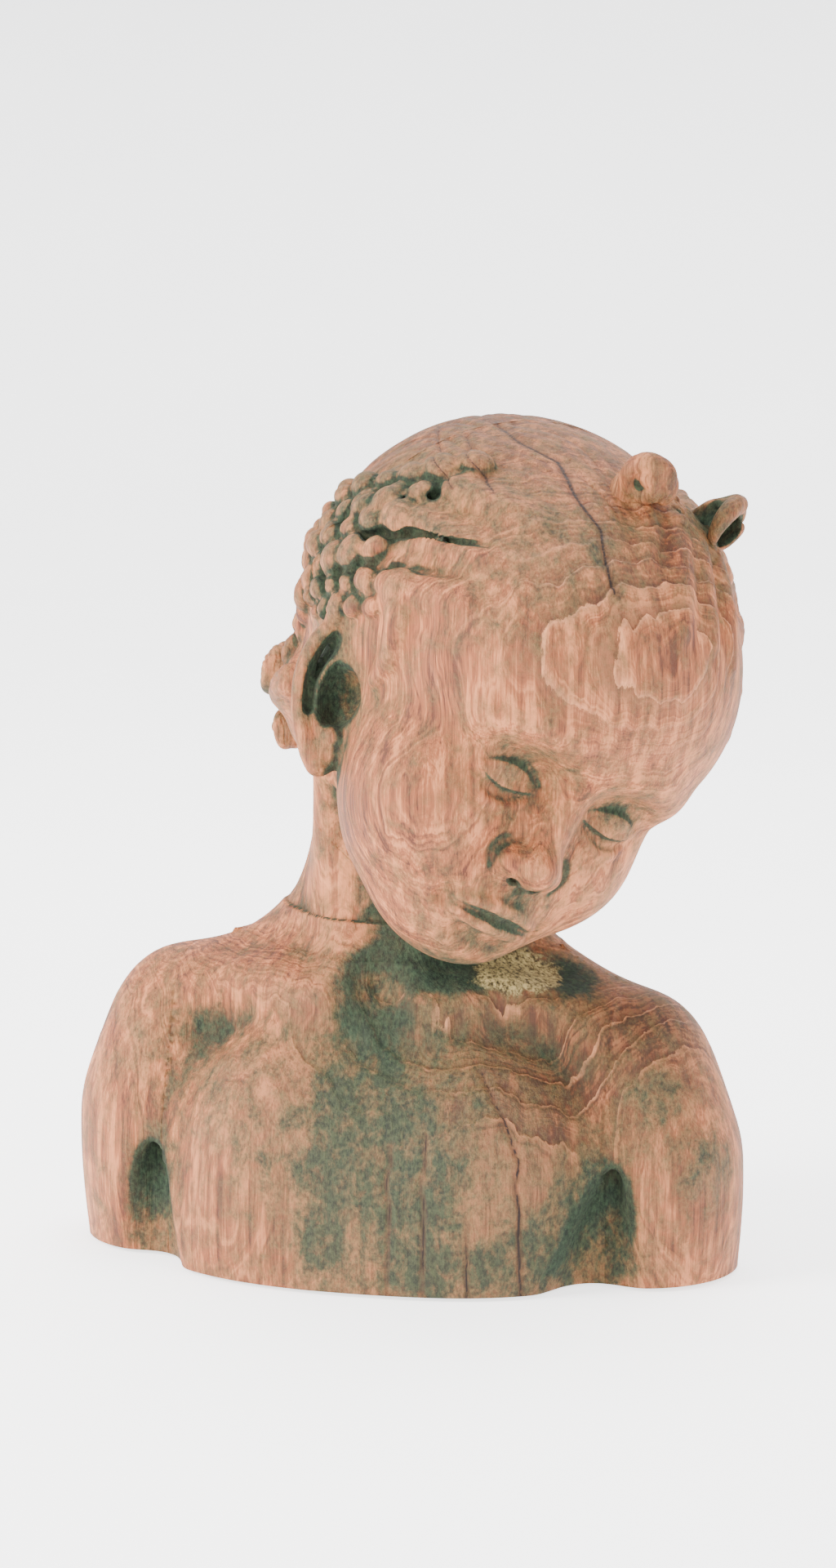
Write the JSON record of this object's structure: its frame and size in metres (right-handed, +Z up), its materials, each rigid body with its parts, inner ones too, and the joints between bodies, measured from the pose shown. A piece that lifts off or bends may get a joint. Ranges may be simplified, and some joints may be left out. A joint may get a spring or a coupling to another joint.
{
  "type": "carved wooden portrait bust",
  "caption": "Life-size carved wooden bust of a child, its head bowed and turned, built from glued and dowelled blocks on felt",
  "frame": {"origin": "on the resting plane, midway between the arms, under the middle of the torso", "axes": "+Z up, the figure's chest faces -Y, its left arm is towards +X"},
  "size_m": [0.279, 0.1873, 0.3424],
  "materials": {
    "carved_wood": "weathered, dry, with green stain in the recesses",
    "dowel_wood": "turned, plain",
    "base_board": "sawn, plain",
    "base_screws": "dull",
    "felt_pads": "wool felt"
  },
  "bodies": {
    "root": {"chest_block": "carved_wood", "back_block": "carved_wood", "right_arm_block": "carved_wood", "left_arm_block": "carved_wood", "neck_block": "carved_wood", "face_block": "carved_wood", "back_of_head_block": "carved_wood", "topknot_right_loop": "carved_wood", "topknot_left_loop": "carved_wood", "topknot_knot": "carved_wood", "nape_curl_upper": "carved_wood", "nape_curl_lower": "carved_wood", "nape_curl_small": "carved_wood", "torso_dowels": "dowel_wood", "shoulder_dowels": "dowel_wood", "neck_peg": "dowel_wood", "skull_dowels": "dowel_wood", "curl_pegs": "dowel_wood", "base_board": "base_board", "base_screws": "base_screws", "felt_pads": "felt_pads"}
  },
  "joints": []
}
